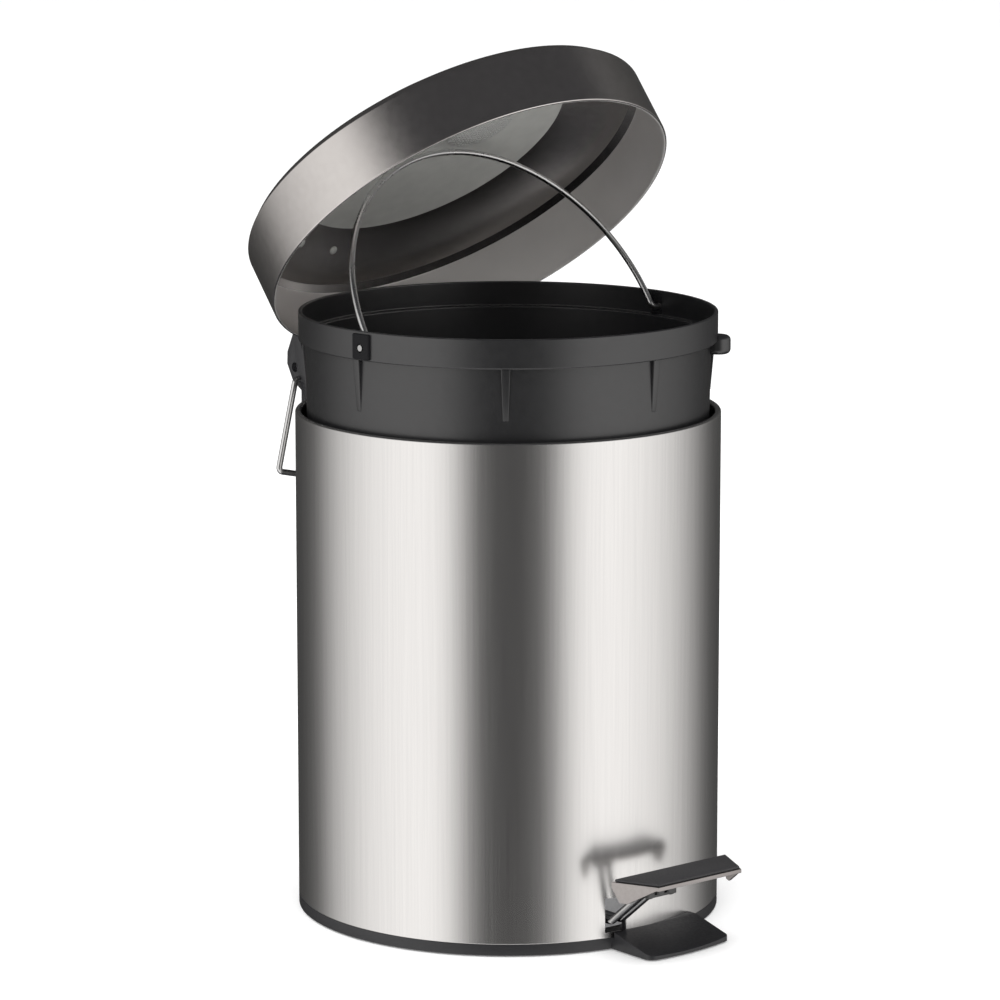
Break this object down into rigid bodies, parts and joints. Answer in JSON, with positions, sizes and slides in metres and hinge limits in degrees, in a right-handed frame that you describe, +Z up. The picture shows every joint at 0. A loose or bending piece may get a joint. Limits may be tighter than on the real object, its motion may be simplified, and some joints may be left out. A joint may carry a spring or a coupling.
{
  "type": "pedal trash can",
  "caption": "Round steel pedal bin with a hinged lid, a pedal linkage, a rear carrying handle and a lift-out plastic bucket with a wire bail.",
  "frame": {"origin": "on the body's axis at floor level", "axes": "+Z up, the pedal faces -Y, the lid hinges at +Y, +X to the right seen from the pedal side"},
  "size_m": [0.1726, 0.2225, 0.3484],
  "materials": {
    "body_steel": "satin brushed stainless steel, grain round the body",
    "lid_steel": "polished dark steel",
    "pedal_steel": "satin steel",
    "arm_steel": "black painted steel",
    "zinc_steel": "zinc-plated steel",
    "bright_wire": "bright plated wire",
    "black_plastic": "moulded black plastic, fine grain",
    "bucket_plastic": "moulded charcoal plastic, satin",
    "disc_grey": "grey embossed sheet",
    "black_rubber": "black rubber"
  },
  "bodies": {
    "housing": {"body_shell": "body_steel", "base_ring": "black_plastic", "rubber_feet": "black_rubber", "base_screws": "zinc_steel", "base_pan": "zinc_steel", "lever_bracket": "zinc_steel", "bracket_rivets": "zinc_steel", "lever_pin": "zinc_steel", "rod_guide": "black_plastic", "guide_rivets": "zinc_steel", "hinge_block": "black_plastic", "hinge_rivets": "zinc_steel", "hinge_pin": "zinc_steel"},
    "lid": {"lid_shell": "lid_steel", "hinge_arm": "arm_steel", "push_pin": "zinc_steel", "lid_rivets": "zinc_steel", "lid_disc": "disc_grey"},
    "pedal": {"pedal_lever": "bright_wire", "lever_tube": "zinc_steel", "pedal_plate": "pedal_steel", "pedal_saddle": "zinc_steel", "pedal_rivets": "zinc_steel", "pedal_tread": "black_rubber"},
    "rod": {"push_rod": "bright_wire", "rod_foot": "black_plastic"},
    "bucket": {"inner_bucket": "bucket_plastic"},
    "bail": {"bail": "bright_wire"},
    "handle": {"rear_handle": "bright_wire"}
  },
  "joints": [
    {"name": "lid_hinge", "type": "hinge", "parent": "housing", "child": "lid", "pos_m": [0, 0.09775, 0.2105], "axis": [-1, 0, 0], "range_deg": [-39.7, 17.6]},
    {"name": "pedal_hinge", "type": "hinge", "parent": "housing", "child": "pedal", "pos_m": [-0.015, 0, 0.0079], "axis": [1, 0, 0], "range_deg": [-4.1, 1.85]},
    {"name": "rod_slide", "type": "slide", "parent": "housing", "child": "rod", "axis": [0, 0, 1], "range_m": [-0.0063, 0.0029]},
    {"name": "bucket_lift", "type": "slide", "parent": "housing", "child": "bucket", "axis": [0, 0, 1], "range_m": [-0.0226, 0.0101]},
    {"name": "bail_swing", "type": "hinge", "parent": "bucket", "child": "bail", "pos_m": [0, -0.0047, 0.2359], "axis": [0.9971, 0.0767, 0], "range_deg": [-48.6, 109.5]},
    {"name": "handle_swing", "type": "hinge", "parent": "housing", "child": "handle", "pos_m": [0, 0.095, 0.206], "axis": [1, 0, 0], "range_deg": [-2, 95]}
  ],
  "couplings": [
    {"joint": "pedal_hinge", "follows": "lid_hinge", "ratio": 0.09966},
    {"joint": "rod_slide", "follows": "lid_hinge", "m_per_rad": 0.008869},
    {"joint": "bucket_lift", "follows": "lid_hinge", "m_per_rad": 0.03247},
    {"joint": "bail_swing", "follows": "lid_hinge", "ratio": -2.7531}
  ]
}
